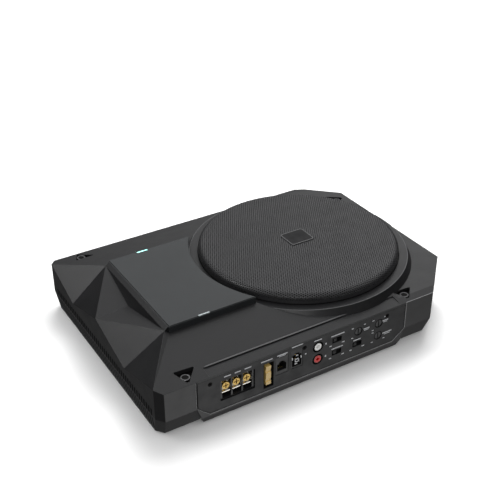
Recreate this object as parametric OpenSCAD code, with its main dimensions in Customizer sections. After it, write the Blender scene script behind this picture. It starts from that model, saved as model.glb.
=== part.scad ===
/* [Enclosure] */
// Overall length along X, left end to right end
body_l = 345; // [320:1:380]
// Overall depth along Y, connector side to rear side
body_w = 250; // [240:1:280]
// Height of the raised middle deck under the amplifier cover
deck_z = 63; // [61:0.5:65]
// Fall of the front and rear roof planes for each millimetre of depth
roof_slope = 0.214; // [0.2:0.002:0.22]
// Height of the amplifier cover and grille above the floor
top_z = 70; // [69:0.5:73]
// Height of the lowest points of the faceted left end
valley_z = 34; // [32:1:38]
// Height where the tapered skirt meets the upright walls
skirt_z = 20; // [18:1:22]
// Thickness of the rubber feet
foot_t = 1.5; // [1.5:0.5:3]
// Thickness of the steel base plate
base_t = 2; // [1.5:0.5:3]

/* [Amplifier cover] */
// Half of the cover's depth along Y
cover_half = 65.6; // [55:0.1:70]
// Left edge of the cover
cover_x = -130; // [-135:1:-120]
// Length of each light bar
bar_l = 11.5; // [8:0.5:20]

/* [Heat-sink fins] */
// Distance from one fin slot to the next
fin_pitch = 4.7; // [4:0.1:8]
// Width of each fin slot
fin_gap = 2.2; // [1.5:0.1:3]
// Number of fin slots in the left wall
fin_count = 47; // [11:2:47]

/* [Woofer] */
// Position of the woofer axis along X
driver_x = 52.5; // [50:0.5:55]
// Radius of the opening in the enclosure
driver_r = 92; // [90:0.5:93]
// Height of the ledge that the woofer frame sits on
seat_z = 55; // [54:0.5:56]
// Outer radius of the voice coil former
coil_r = 19.15; // [17:0.05:19.5]
// Outside radius of the moulded ring around the grille
ring_r = 112; // [110:0.5:114]
// Radius of the perforated grille
grille_r = 102.4; // [101:0.1:102.6]

/* [Connector panel] */
// Left end of the panel
panel_x0 = -134.5; // [-138:0.5:-130]
// Right end of the panel
panel_x1 = 92.5; // [88:0.5:96]
// Height of the upper row of controls
row_hi = 37.8; // [37:0.1:38.5]
// Height of the lower row of controls
row_lo = 23.8; // [23:0.1:24.5]
// Distance from one power terminal to the next
term_pitch = 10.7; // [10.5:0.1:11]
// Position of the middle power terminal along X
term_x = -94.5; // [-96:0.5:-93]

/* [Hidden] */
$fn = 64;
eps = 0.01;

half_l = body_l / 2;
half_w = body_w / 2;
front_y = -half_w;
// plan outline of the upright walls, corners cut off
corner_y = half_w - 8;
corner_x = half_l - 6;
cham_fx = 126;
cham_fy = -79;
cham_rx = 133;
cham_ry = 87;
PLAN = [
    [-corner_x, -half_w], [cham_fx, -half_w], [half_l, cham_fy], [half_l, cham_ry],
    [cham_rx, half_w], [-corner_x, half_w], [-half_l, corner_y], [-half_l, -corner_y]
];
// the skirt draws in below skirt_z
skirt_in_x = 2.3;
skirt_in_y = 7.5;
// height of the flat right-hand shoulder, and of the roof's lower edges
shoulder_z = deck_z - (corner_y - cover_half) * roof_slope;
edge_z = shoulder_z - (half_w - corner_y) * roof_slope;
deck_x1 = 90;
facet_z = deck_z + 3;
facet_x = cover_x - 4;
facet_y = cover_half - 1.6;
apex_y = 4;
pit_z = shoulder_z + 2;
pit_x = facet_x - 4.5;
valley_y = 60;

// colours
col_shell = [0.16, 0.16, 0.17];
col_dark = [0.08, 0.08, 0.09];
col_steel = [0.55, 0.56, 0.58];
col_brass = [0.78, 0.62, 0.28];
col_board = [0.10, 0.30, 0.18];

// ---------- enclosure ----------

// plan outline at the bottom of the skirt
SKIRT = [for (p = PLAN) [
    p[0] * (half_l - skirt_in_x) / half_l,
    p[1] * (half_w - skirt_in_y) / half_w
]];

// faces are listed anticlockwise from outside and turned round here
module solid_of(points, faces) {
    polyhedron(
        points = points,
        faces = [for (f = faces) [for (i = [len(f) - 1:-1:0]) f[i]]]
    );
}

// cross-section of the upper shell, with or without the raised deck
module roof_profile(deck) {
    polygon(concat(
        [[-half_w - 1, skirt_z], [-half_w - 1, edge_z - roof_slope]],
        deck ? [[-cover_half, deck_z], [cover_half, deck_z]]
            : [[-corner_y, shoulder_z], [corner_y, shoulder_z]],
        [[half_w + 1, edge_z - roof_slope], [half_w + 1, skirt_z]]
    ));
}

module roof_run(x0, x1, deck) {
    translate([x0, 0, 0])
        rotate([90, 0, 90])
            linear_extrude(x1 - x0)
                roof_profile(deck);
}

// upper shell right of the faceted end: upright walls under sloped roof planes
module main_form() {
    intersection() {
        union() {
            roof_run(cover_x, deck_x1, true);
            roof_run(deck_x1 - 5, half_l + 1, false);
        }
        translate([0, 0, skirt_z])
            linear_extrude(60)
                polygon(PLAN);
    }
}

// faceted left end, closed where it meets the rest of the shell
module facet_form() {
    foot = [
        [cover_x, -half_w, skirt_z], [cover_x, half_w, skirt_z],
        [-corner_x, half_w, skirt_z], [-half_l, corner_y, skirt_z],
        [-half_l, -corner_y, skirt_z], [-corner_x, -half_w, skirt_z]
    ];
    rim = [
        [cover_x, -half_w, edge_z], [cover_x, half_w, edge_z],
        [-corner_x, half_w, edge_z],
        [-half_l, corner_y, shoulder_z],
        [-half_l, apex_y + valley_y, valley_z],
        [-half_l, apex_y, shoulder_z],
        [-half_l, apex_y - valley_y, valley_z],
        [-half_l, -corner_y, shoulder_z],
        [-corner_x, -half_w, edge_z]
    ];
    top = [
        [cover_x, -cover_half, deck_z], [facet_x, -facet_y, facet_z],
        [facet_x, facet_y, facet_z], [cover_x, cover_half, deck_z],
        [pit_x, apex_y, pit_z]
    ];
    walls = [
        [0, 1, 7, 18, 15, 6], [5, 0, 6, 14], [1, 2, 8, 7], [2, 3, 9, 8],
        [3, 4, 12, 10], [4, 13, 12], [12, 11, 10], [10, 9, 3],
        [4, 5, 14, 13], [0, 5, 4, 3, 2, 1]
    ];
    roof = [
        [14, 6, 15, 13], [8, 9, 18, 7], [16, 13, 15], [16, 12, 13],
        [11, 12, 16], [11, 16, 19], [19, 16, 17], [11, 19, 17],
        [10, 11, 17], [9, 10, 17], [9, 17, 18], [16, 15, 18, 17]
    ];
    solid_of(concat(foot, rim, top), concat(walls, roof));
}

// closed form of the lower frame, drawn in towards the floor
module skirt_form() {
    low = [for (p = SKIRT) [p[0], p[1], foot_t]];
    mid = [for (p = PLAN) [p[0], p[1], skirt_z]];
    sides = [for (i = [0:7], k = [0:1])
        k == 0 ? [i, (i + 1) % 8, 8 + (i + 1) % 8] : [i, 8 + (i + 1) % 8, 8 + i]];
    ends = [[7, 6, 5, 4, 3, 2, 1, 0], [8, 9, 10, 11, 12, 13, 14, 15]];
    solid_of(concat(low, mid), concat(sides, ends));
}

// the connector side comes straight down to the floor behind the panel
module panel_block() {
    intersection() {
        translate([panel_x0 - 5, 0, 0])
            rotate([90, 0, 90])
                linear_extrude(panel_x1 - panel_x0 + 10)
                    polygon([
                        [-110, foot_t], [front_y + 2.5, foot_t], [front_y, 8],
                        [front_y, skirt_z], [-110, skirt_z]
                    ]);
        translate([0, -100, 0])
            rotate([90, 0, 0])
                linear_extrude(40)
                    polygon([
                        [panel_x0 - 0.5, skirt_z + 1], [panel_x0 - 0.5, 18],
                        [panel_x0 + 6, foot_t - 1], [panel_x1 - 6, foot_t - 1],
                        [panel_x1 + 0.5, 18], [panel_x1 + 0.5, skirt_z + 1]
                    ]);
    }
}

in_front = -118.5;
in_rear = 121.5;
in_left = -169;
in_right = 169;
deck_under = deck_z - 4.5;
ring_bottom = seat_z - 7.5;

module base_outline(gap) {
    polygon([
        [-163 + gap, -114 + gap], [122.5 - gap, -114 + gap], [166.5 - gap, -72.5 + gap],
        [166.5 - gap, 80 - gap], [129.5 - gap, 114 - gap], [-163 + gap, 114 - gap],
        [-166.5 + gap, 110 - gap], [-166.5 + gap, -110 + gap]
    ]);
}

module shell_cavity() {
    // middle part under the two roof planes and the deck
    translate([-126, 0, 0])
        rotate([90, 0, 90])
            linear_extrude(126 + 87)
                polygon([
                    [in_front, skirt_z - 1], [in_front, edge_z - 1.9],
                    [-68, deck_under], [68, deck_under],
                    [in_rear, edge_z - 2.4], [in_rear, skirt_z - 1]
                ]);
    // right part under the flat shoulder
    translate([0, 0, skirt_z - 1])
        linear_extrude(shoulder_z - 3.2 - skirt_z + 1)
            polygon([
                [80, in_front], [cham_fx - 4, in_front], [in_right, cham_fy + 2],
                [in_right, cham_ry - 2], [cham_rx - 2, in_rear], [80, in_rear]
            ]);
    // left part under the facets, in two steps
    translate([-150, in_front, skirt_z - 1])
        cube([30, in_rear - in_front, 28.5]);
    translate([in_left, -112, skirt_z - 1])
        cube([30, 224, 11.5]);
}

// outer profile of the driver ring: a collar, a ledge at rebate_z and a sloped flange
rebate_z = shoulder_z - 1;
lip_z = seat_z + 5;

// space that the driver ring takes out of the shell
module ring_socket() {
    translate([driver_x, 0, 0])
        rotate_extrude($fn = 160)
            polygon([
                [0, 40], [ring_r - 0.5, 40], [ring_r - 0.5, rebate_z],
                [ring_r + 4.5, rebate_z], [ring_r, lip_z], [ring_r, lip_z + 20],
                [0, lip_z + 20]
            ]);
}

// raised ring that the woofer and its grille drop into
module driver_ring() {
    color(col_shell)
        translate([driver_x, 0, 0])
            difference() {
                rotate_extrude($fn = 160)
                    polygon([
                        [driver_r, ring_bottom], [ring_r - 0.7, ring_bottom],
                        [ring_r - 0.7, rebate_z], [ring_r + 4.4, rebate_z],
                        [ring_r - 0.1, lip_z], [grille_r + 0.8, lip_z],
                        [grille_r + 0.8, seat_z], [driver_r, seat_z]
                    ]);
                woofer_screw_places()
                    translate([0, 0, seat_z - 5.5])
                        cylinder(r = 1.9, h = 10);
            }
}

// corner screws in three-sided pockets: x, y, pocket floor, lower boss radius
CORNERS = [
    [-140.7, -114.6, 48.2, 5], [99.5, -113.8, 47.8, 5],
    [-140.7, 114.6, 48.2, 5], [158.4, 76.8, 47.8, 9]
];
POCKET_TURN = [0, 0, 0, 95];
// base screws
BOSSES = [
    [-125, -110.5], [80, -110.5], [-60, 110.5], [40, 110.5],
    [-162.5, -98], [-162.5, 98], [162.5, -14], [162.5, 40]
];
corner_head_r = 3.4;

module at_corner(i) {
    translate([CORNERS[i][0], CORNERS[i][1], 0])
        mirror([0, i == 2 ? 1 : 0, 0])
            rotate(POCKET_TURN[i])
                children();
}

BAY_BOTTOM = 10;
BAY_TOP = 48.6;

module panel_shape(gap) {
    polygon([
        [panel_x0 + gap, skirt_z + 1], [panel_x0 + 12 + gap / 2, BAY_BOTTOM + gap],
        [panel_x1 - 14 - gap / 2, BAY_BOTTOM + gap], [panel_x1 - gap, skirt_z + 1],
        [panel_x1 - gap, BAY_TOP - gap], [panel_x0 + gap, BAY_TOP - gap]
    ]);
}

module across(y, depth) {
    translate([0, y + depth, 0])
        rotate([90, 0, 0])
            linear_extrude(depth)
                children();
}

// bay for the connector panel, with a ledge behind it
module panel_bay() {
    across(front_y - 1, 4.3)
        panel_shape(-0.3);
    across(front_y + 2.9, 14)
        panel_shape(3);
}

// flatter strip of roof above the panel, one small step below the roof plane
module roof_step() {
    translate([panel_x0 + 12, 0, 0])
        rotate([90, 0, 90])
            linear_extrude(panel_x1 - panel_x0 - 18)
                polygon([
                    [front_y + 12.4, edge_z + 1.5], [front_y - 2, edge_z - 0.4],
                    [front_y - 2, deck_z], [front_y + 12.4, deck_z]
                ]);
}

module top_housing() {
    color(col_shell)
        difference() {
            union() {
                difference() {
                    difference() {
                        union() {
                            main_form();
                            facet_form();
                        }
                        ring_socket();
                    }
                    shell_cavity();
                }
                for (i = [0:3])
                    at_corner(i)
                        translate([0, 0, skirt_z])
                            cylinder(r = 6.3, h = CORNERS[i][2] + 1.3 - skirt_z);
                for (i = [0:3])
                    at_corner(i)
                        translate([-10, -8.6, CORNERS[i][2] - 2.6])
                            cube([23, 17, 3.8]);
            }
            panel_bay();
            roof_step();
            for (i = [0:3])
                at_corner(i)
                    translate([0, 0, CORNERS[i][2]])
                        linear_extrude(14)
                            polygon([
                                [-8, 6.5], [-6.8, 7.4], [11, 6.4],
                                [11.4, 5.2], [0.6, -7], [-2.2, -7]
                            ]);
            for (i = [0:3])
                at_corner(i)
                    cylinder(r = 2.05, h = 60);
        }
}

module fin_slots() {
    for (i = [0:fin_count - 1])
        translate([
            -half_l - 1,
            (i - (fin_count - 1) / 2) * fin_pitch - fin_gap / 2 - 2,
            foot_t + 3.5
        ])
            cube([4.2, fin_gap, 13]);
}

module lower_frame() {
    color(col_shell)
        difference() {
            union() {
                difference() {
                    union() {
                        skirt_form();
                        panel_block();
                    }
                    translate([0, 0, -1])
                        linear_extrude(skirt_z + 5)
                            base_outline(0);
                }
                for (b = BOSSES)
                    translate([b[0], b[1], foot_t + base_t])
                        cylinder(r = 4.6, h = 16);
                for (c = CORNERS)
                    translate([c[0], c[1], 10])
                        cylinder(r = c[3], h = skirt_z - 10);
            }
            panel_bay();
            fin_slots();
            for (c = CORNERS)
                translate([c[0], c[1], 5])
                    cylinder(r = 2.05, h = 30);
            for (b = BOSSES)
                translate([b[0], b[1], -1])
                    cylinder(r = 1.65, h = 16);
        }
}

MOUNT_X = 140;
MOUNT_Y = 80;
FEET = [[-125, -98], [120, -92], [-125, 98], [120, 92]];

module base_plate() {
    color(col_dark)
        difference() {
            union() {
                translate([0, 0, foot_t])
                    linear_extrude(base_t)
                        base_outline(0.3);
                for (sx = [-1, 1], sy = [-1, 1])
                    translate([sx * MOUNT_X, sy * MOUNT_Y, foot_t])
                        cylinder(r = 5, h = base_t + 5);
                for (p = BOARD_POSTS)
                    translate([p[0], p[1], foot_t])
                        cylinder(r = 3, h = board_z - foot_t);
            }
            for (sx = [-1, 1], sy = [-1, 1])
                translate([sx * MOUNT_X, sy * MOUNT_Y, foot_t - 1])
                    cylinder(r = 2.1, h = base_t + 10);
            for (b = BOSSES)
                translate([b[0], b[1], foot_t - 1])
                    cylinder(r = 1.9, h = base_t + 2);
        }
}

module rubber_feet() {
    color("black")
        for (f = FEET)
            translate([f[0], f[1], 0])
                difference() {
                    cylinder(r = 9, h = foot_t);
                    translate([0, 0, -1])
                        cylinder(r = 3, h = 1.6);
                }
}

module base_screws() {
    color(col_steel)
        for (b = BOSSES)
            translate([b[0], b[1], 0])
                difference() {
                    union() {
                        translate([0, 0, foot_t - 1.2])
                            cylinder(r = 3, h = 1.2);
                        translate([0, 0, foot_t - 0.2])
                            cylinder(r = 1.6, h = 11);
                    }
                    translate([0, 0, -1])
                        cylinder(r = 1.3, h = 2.2, $fn = 6);
                }
}

module corner_screws() {
    color(col_steel)
        for (c = CORNERS)
            translate([c[0], c[1], c[2]])
                difference() {
                    union() {
                        cylinder(r = corner_head_r, h = 2.6);
                        translate([0, 0, -34])
                            cylinder(r = 2, h = 35);
                    }
                    translate([0, 0, 1])
                        cylinder(r = 1.9, h = 3, $fn = 6);
                }
}

// ---------- amplifier cover ----------

bar_x = -99.3;
bar_y = cover_half - 1.5;

module cover_outline(inset) {
    difference() {
        translate([cover_x + inset, -cover_half + inset])
            square([driver_x - cover_x, 2 * (cover_half - inset)]);
        translate([driver_x, 0])
            circle(r = ring_r + 0.3 + inset, $fn = 160);
        translate([driver_x - 40, -100])
            square([200, 200]);
    }
}

module amp_cover() {
    color([0.19, 0.19, 0.20])
        difference() {
            union() {
                translate([0, 0, deck_z])
                    linear_extrude(top_z - deck_z - 0.8)
                        cover_outline(0);
                translate([0, 0, top_z - 0.8 - eps])
                    linear_extrude(0.8 + eps)
                        cover_outline(0.6);
            }
            translate([0, 0, deck_z - 1])
                linear_extrude(top_z - deck_z - 2)
                    cover_outline(3);
            for (s = [-1, 1])
                translate([bar_x - 0.1, s * bar_y - 0.9, top_z - 3])
                    cube([bar_l + 0.2, 1.8, 4]);
        }
}

module light_bar(s) {
    color([0.75, 0.9, 0.9])
        translate([bar_x, s * bar_y - 0.8, top_z - 2.9])
            cube([bar_l, 1.6, 2.8]);
}

module light_bar_front() {
    light_bar(-1);
}

module light_bar_rear() {
    light_bar(1);
}

// ---------- grille ----------

shoulder_r = 5;

module grille_mesh() {
    color([0.2, 0.2, 0.21])
        translate([driver_x, 0, 0])
            rotate_extrude($fn = 160)
                difference() {
                    union() {
                        square([grille_r - shoulder_r, top_z]);
                        square([grille_r, top_z - shoulder_r]);
                        translate([grille_r - shoulder_r, top_z - shoulder_r])
                            circle(r = shoulder_r);
                    }
                    translate([-eps, -1])
                        square([grille_r - shoulder_r + eps, top_z]);
                    translate([-eps, -1])
                        square([grille_r - 1, top_z - shoulder_r + 1]);
                    translate([grille_r - shoulder_r, top_z - shoulder_r])
                        circle(r = shoulder_r - 1);
                    translate([-eps, -1])
                        square([grille_r + 1, seat_z + 4]);
                }
}

module grille_frame() {
    color(col_dark)
        translate([driver_x, 0, seat_z])
            rotate_extrude($fn = 160)
                polygon([
                    [99.9, 0], [102.3, 0], [102.3, 2.8], [101.2, 2.8],
                    [101.2, 9], [99.9, 9]
                ]);
}

module grille_badge() {
    color([0.1, 0.1, 0.1])
        translate([driver_x + 2 - 13.5, 4.3 - 12, top_z])
            union() {
                cube([27, 24, 0.7]);
                translate([1, 1, 0])
                    cube([25, 22, 1.1]);
            }
}

// ---------- woofer ----------

flange_r = 99.4;
gasket_t = 1;
flange_z = seat_z + gasket_t;
flange_t = 1.5;
screw_ring_r = 95.5;

module woofer_screw_places() {
    for (i = [0:7])
        rotate(i * 45 + 22.5)
            translate([screw_ring_r, 0, 0])
                children();
}

module woofer_gasket() {
    color("black")
        translate([driver_x, 0, seat_z])
            difference() {
                cylinder(r = flange_r - 0.4, h = gasket_t, $fn = 160);
                translate([0, 0, -1])
                    cylinder(r = driver_r, h = 4, $fn = 160);
                woofer_screw_places()
                    translate([0, 0, -1])
                        cylinder(r = 1.9, h = 4);
            }
}

module woofer_basket() {
    color([0.12, 0.12, 0.13])
        translate([driver_x, 0, 0])
            difference() {
                rotate_extrude($fn = 160)
                    polygon([
                        [24, 22], [60, 22], [90.6, 50], [90.6, flange_z],
                        [flange_r, flange_z], [flange_r, flange_z + flange_t],
                        [89, flange_z + flange_t], [89, 50.6], [59.4, 23.6],
                        [50, 23.6], [50, 27], [46, 27], [46, 23.6], [24, 23.6]
                    ]);
                for (i = [0:5])
                    rotate(i * 60 + 30)
                        translate([74, 0, 36.5])
                            rotate([0, -45, 0])
                                cylinder(r = 12, h = 12, center = true);
                woofer_screw_places()
                    translate([0, 0, flange_z - 1])
                        cylinder(r = 1.9, h = 5);
            }
}

module woofer_screws() {
    color(col_steel)
        translate([driver_x, 0, 0])
            woofer_screw_places()
                difference() {
                    union() {
                        translate([0, 0, flange_z + flange_t + 0.8])
                            cylinder(r = 3, h = 1.6);
                        translate([0, 0, seat_z - 5])
                            cylinder(r = 1.8, h = 9);
                    }
                    translate([0, 0, flange_z + flange_t + 1.4])
                        cylinder(r = 1.4, h = 2, $fn = 6);
                }
}

roll_in = 76;
roll_out = 88.6;

module surround() {
    mid_r = (roll_in + roll_out) / 2;
    roll_r = (roll_out - roll_in) / 2;
    base_z = flange_z + flange_t;
    color("black")
        translate([driver_x, 0, base_z])
            difference() {
                rotate_extrude($fn = 160)
                    union() {
                        difference() {
                            translate([mid_r, 0])
                                circle(r = roll_r);
                            translate([mid_r, 0])
                                circle(r = roll_r - 0.8);
                            translate([roll_in - 1, -20])
                                square([20, 20]);
                        }
                        translate([roll_out - 0.8, 0])
                            square([flange_r - 0.4 - roll_out + 0.8, 0.8]);
                    }
                woofer_screw_places()
                    translate([0, 0, -1])
                        cylinder(r = 1.9, h = 4);
            }
}

module cone() {
    color([0.1, 0.1, 0.1])
        translate([driver_x, 0, 0])
            rotate_extrude($fn = 160)
                polygon([
                    [coil_r + 0.05, 36], [40, 42.5], [60, 50], [72, 56.6],
                    [75.7, 56.6], [75.7, 57.4], [71.6, 57.4], [59.6, 50.8],
                    [39.7, 43.3], [coil_r + 0.05, 37]
                ]);
}

module dust_cap() {
    cap_r = 27;
    cap_h = 6;
    ball_r = (cap_r * cap_r + cap_h * cap_h) / (2 * cap_h);
    color([0.07, 0.07, 0.07])
        translate([driver_x, 0, 40.2])
            rotate_extrude($fn = 96)
                intersection() {
                    difference() {
                        translate([0, cap_h - ball_r])
                            circle(r = ball_r, $fn = 160);
                        translate([0, cap_h - ball_r])
                            circle(r = ball_r - 0.7, $fn = 160);
                    }
                    square([cap_r + 5, cap_h + 5]);
                }
}

module coil_former() {
    color([0.75, 0.68, 0.5])
        translate([driver_x, 0, 13.5])
            difference() {
                cylinder(r = coil_r, h = 24);
                translate([0, 0, -1])
                    cylinder(r = coil_r - 0.25, h = 26);
            }
}

module voice_coil() {
    color([0.72, 0.38, 0.2])
        translate([driver_x, 0, 14])
            difference() {
                cylinder(r = coil_r + 0.8, h = 11);
                translate([0, 0, -1])
                    cylinder(r = coil_r + 0.01, h = 13);
            }
}

module spider() {
    pitch = 4.3;
    color([0.75, 0.65, 0.4])
        translate([driver_x, 0, 27])
            rotate_extrude($fn = 120)
                union() {
                    translate([coil_r + 1.2, 0.5])
                        square([2.2, 0.5]);
                    for (i = [0:4])
                        translate([coil_r + 3.2 + i * pitch, i % 2 == 0 ? 0 : 0.5])
                            square([pitch + 0.2, 0.8]);
                    translate([coil_r + 3.2 + 5 * pitch, 0])
                        square([50 - coil_r - 3.2 - 5 * pitch, 0.5]);
                }
}

module magnet_top_plate() {
    color(col_steel)
        translate([driver_x, 0, 18])
            difference() {
                cylinder(r = 50, h = 4);
                translate([0, 0, -1])
                    cylinder(r = coil_r + 1.45, h = 6);
            }
}

module magnet_ring() {
    color([0.2, 0.2, 0.21])
        translate([driver_x, 0, 8])
            difference() {
                cylinder(r = 52, h = 10);
                translate([0, 0, -1])
                    cylinder(r = 26, h = 12);
            }
}

module magnet_yoke() {
    color(col_steel)
        translate([driver_x, 0, 4.2])
            difference() {
                union() {
                    cylinder(r = 50, h = 3.8);
                    cylinder(r = coil_r - 0.95, h = 17.8);
                }
                translate([0, 0, -1])
                    cylinder(r = 5, h = 22);
            }
}

module woofer_terminal() {
    color(col_brass)
        translate([driver_x - 66, -6, 23])
            union() {
                cube([3, 12, 1.2]);
                for (y = [1, 8])
                    translate([-6, y, 0])
                        cube([6.5, 2.8, 0.8]);
            }
}

// ---------- connector panel ----------

PANEL_T = 3;
panel_y = front_y + 0.2;
panel_back = panel_y + PANEL_T;
TERMS = [term_x - term_pitch, term_x, term_x + term_pitch];
fuse_x = -62.4;
fuse_z = 27.2;
jack_x = -48.2;
socket_x = -32;
rca_x = -8.8;
SWITCHES = [[12.6, row_hi], [12.6, row_lo], [36.4, row_lo]];
KNOBS = [[37.2, row_hi], [61.3, row_hi], [61.3, row_lo]];
PANEL_SCREWS = [[-122.2, 42.4], [-23.8, 42.8], [70.8, 43.2]];

module box_at(x, z, w, h) {
    translate([x - w / 2, z - h / 2])
        square([w, h]);
}

module connector_panel() {
    color([0.14, 0.14, 0.15])
        across(panel_y, PANEL_T)
            difference() {
                panel_shape(0);
                box_at(term_x, 30, 35.4, 21.4);
                box_at(fuse_x, fuse_z + 0.5, 10.6, 27.6);
                box_at(jack_x, 33, 13.6, 19);
                box_at(socket_x, 34, 12.6, 20);
                for (z = [row_lo, row_hi])
                    translate([rca_x, z])
                        circle(r = 5.8);
                for (s = SWITCHES)
                    box_at(s[0], s[1], 10.4, 5.6);
                for (k = KNOBS)
                    translate(k)
                        circle(r = 4.5);
                for (s = PANEL_SCREWS)
                    translate(s)
                        circle(r = 1.5);
            }
}

module panel_screws() {
    color(col_dark)
        for (s = PANEL_SCREWS)
            translate([s[0], panel_y, s[1]])
                rotate([-90, 0, 0])
                    difference() {
                        union() {
                            translate([0, 0, -0.1])
                                cylinder(r = 2.2, h = 0.1);
                            cylinder(r = 1.4, h = 8);
                        }
                        translate([0, 0, -1])
                            cylinder(r = 0.9, h = 2.4, $fn = 6);
                    }
}

TERM_Z = 32.3;
term_face = panel_y + 1.4;

module terminal_block() {
    color(col_dark)
        difference() {
            translate([term_x - 17.6, term_face, 19.4])
                cube([35.2, 20, 21.2]);
            for (x = TERMS) {
                // chamber for the screw and its clamp plate
                translate([x - 4.7, term_face - 1, 24.6])
                    cube([9.4, 6.2, 15]);
                // wire pocket under the clamp plate
                translate([x - 4.4, term_face - 1, 20.1])
                    cube([8.8, 11, 5]);
                translate([x, term_face, TERM_Z])
                    rotate([-90, 0, 0])
                        cylinder(r = 2.1, h = 19);
                translate([x - 4.7, term_face + 5, 24.6])
                    cube([9.4, 2.2, 13]);
            }
        }
}

module terminal_bus_bars() {
    color(col_brass)
        for (x = TERMS)
            difference() {
                translate([x - 4.6, term_face + 5.2, 24.7])
                    cube([9.2, 1.9, 12.8]);
                translate([x, term_face + 4, TERM_Z])
                    rotate([-90, 0, 0])
                        cylinder(r = 2.05, h = 5);
            }
}

module clamp_plate(n) {
    x = TERMS[n - 1];
    color([0.86, 0.78, 0.5])
        difference() {
            translate([x - 4.4, term_face + 1.2, 25.4])
                union() {
                    translate([0, 2.6, 0])
                        cube([8.8, 1.1, 11.4]);
                    cube([8.8, 3, 1.1]);
                }
            translate([x, term_face, TERM_Z])
                rotate([-90, 0, 0])
                    cylinder(r = 2.05, h = 9);
        }
}

module clamp_plate_1() {
    clamp_plate(1);
}

module clamp_plate_2() {
    clamp_plate(2);
}

module clamp_plate_3() {
    clamp_plate(3);
}

module terminal_screw(n) {
    color(col_brass)
        translate([TERMS[n - 1], term_face + 1.1, TERM_Z])
            rotate([-90, 0, 0])
                difference() {
                    union() {
                        cylinder(r = 3.7, h = 2.6);
                        cylinder(r = 2, h = 16);
                    }
                    for (a = [0, 90])
                        rotate(a)
                            translate([-2.6, -0.45, -1])
                                cube([5.2, 0.9, 2.4]);
                }
}

module terminal_screw_1() {
    terminal_screw(1);
}

module terminal_screw_2() {
    terminal_screw(2);
}

module terminal_screw_3() {
    terminal_screw(3);
}

fuse_face = panel_y + 0.1;

module fuse_holder() {
    color(col_dark)
        difference() {
            translate([fuse_x - 6.3, panel_back + 0.1, 13.2])
                cube([12.6, 23, 29.8]);
            translate([fuse_x - 5.3, panel_back - 1, fuse_z - 13.3])
                cube([10.6, 10.7, 27.6]);
            for (s = [-1, 1])
                translate([fuse_x - 1.2, panel_back + 9, fuse_z + s * 5.6 - 3.4])
                    cube([2.4, 12, 6.8]);
        }
}

module fuse_clips() {
    color(col_steel)
        for (s = [-1, 1], k = [-1, 1])
            translate([fuse_x + k * 0.9 - 0.25, panel_back + 10.2, fuse_z + s * 5.6 - 3])
                cube([0.5, 10, 6]);
}

module fuse_body() {
    color([0.85, 0.68, 0.35])
        translate([fuse_x - 2.7, fuse_face, fuse_z - 10.2])
            difference() {
                cube([5.4, 12, 20.4]);
                for (s = [-1, 1])
                    translate([-1, -1, 10.2 + s * 5.2 - 1.6])
                        cube([7.4, 1.8, 3.2]);
            }
}

module fuse_blades() {
    color([0.8, 0.8, 0.78])
        for (s = [-1, 1])
            translate([fuse_x - 0.35, fuse_face + 12, fuse_z + s * 5.6 - 2.6])
                cube([0.7, 9, 5.2]);
}

module remote_jack() {
    color(col_dark)
        difference() {
            translate([jack_x - 6.6, panel_y + 0.3, 23.7])
                cube([13.2, 16.5, 18.6]);
            translate([jack_x - 4.8, panel_y - 1, 27.4])
                cube([9.6, 13, 7.6]);
            translate([jack_x - 3, panel_y - 1, 34])
                cube([6, 13, 2.8]);
            translate([jack_x - 1.6, panel_y - 1, 36])
                cube([3.2, 13, 1.6]);
        }
}

module speaker_socket() {
    color([0.1, 0.1, 0.1])
        difference() {
            translate([socket_x - 6.1, panel_y + 0.3, 24.3])
                cube([12.2, 14, 19.4]);
            translate([socket_x - 5, panel_y - 1, 25.6])
                cube([10, 11, 12.6]);
            translate([socket_x - 2.4, panel_y - 1, 38])
                cube([4.8, 11, 2]);
        }
}

// spring contacts of the remote jack and pins of the speaker socket
module socket_contacts() {
    color(col_brass) {
        for (i = [-2.5:1:2.5])
            translate([jack_x + i * 1.02 - 0.2, panel_y + 4, 27.45])
                cube([0.4, 8, 0.5]);
        for (dx = [-1, 1], dz = [-1, 1])
            translate([socket_x + dx * 2.1 - 0.5, panel_y + 5.4, 31.9 + dz * 2.1 - 0.5])
                cube([1, 4.5, 1]);
    }
}

module rca_housing() {
    color(col_dark)
        difference() {
            translate([rca_x - 6.6, panel_back + 0.1, row_lo - 7])
                cube([13.2, 15, row_hi - row_lo + 14]);
            for (z = [row_lo, row_hi])
                translate([rca_x, panel_back - 1, z])
                    rotate([-90, 0, 0])
                        cylinder(r = 4.15, h = 14);
            for (z = [row_lo, row_hi])
                translate([rca_x, panel_back - 1, z])
                    rotate([-90, 0, 0])
                        cylinder(r = 5.8, h = 8);
        }
}

module rca_barrels() {
    color([0.8, 0.8, 0.8])
        for (z = [row_lo, row_hi])
            translate([rca_x, panel_y + 0.1, z])
                rotate([-90, 0, 0])
                    difference() {
                        cylinder(r = 4.15, h = 14);
                        translate([0, 0, -1])
                            cylinder(r = 3.75, h = 20);
                    }
}

module rca_insert(z) {
    translate([rca_x, panel_y, z])
        rotate([-90, 0, 0])
            difference() {
                cylinder(r = 3.74, h = 13.5);
                translate([0, 0, -1])
                    cylinder(r = 1.65, h = 12);
            }
}

module rca_insert_white() {
    color("white")
        rca_insert(row_hi);
}

module rca_insert_red() {
    color("red")
        rca_insert(row_lo);
}

SW_TRAVEL = 2;

module switch_bodies() {
    color(col_dark)
        for (s = SWITCHES)
            translate([s[0], panel_back + 0.1, s[1]])
                difference() {
                    translate([-6.4, 0, -3.9])
                        cube([12.8, 8, 7.8]);
                    translate([-4.6, -1, -1.9])
                        cube([9.2, 6, 3.8]);
                }
}

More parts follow.
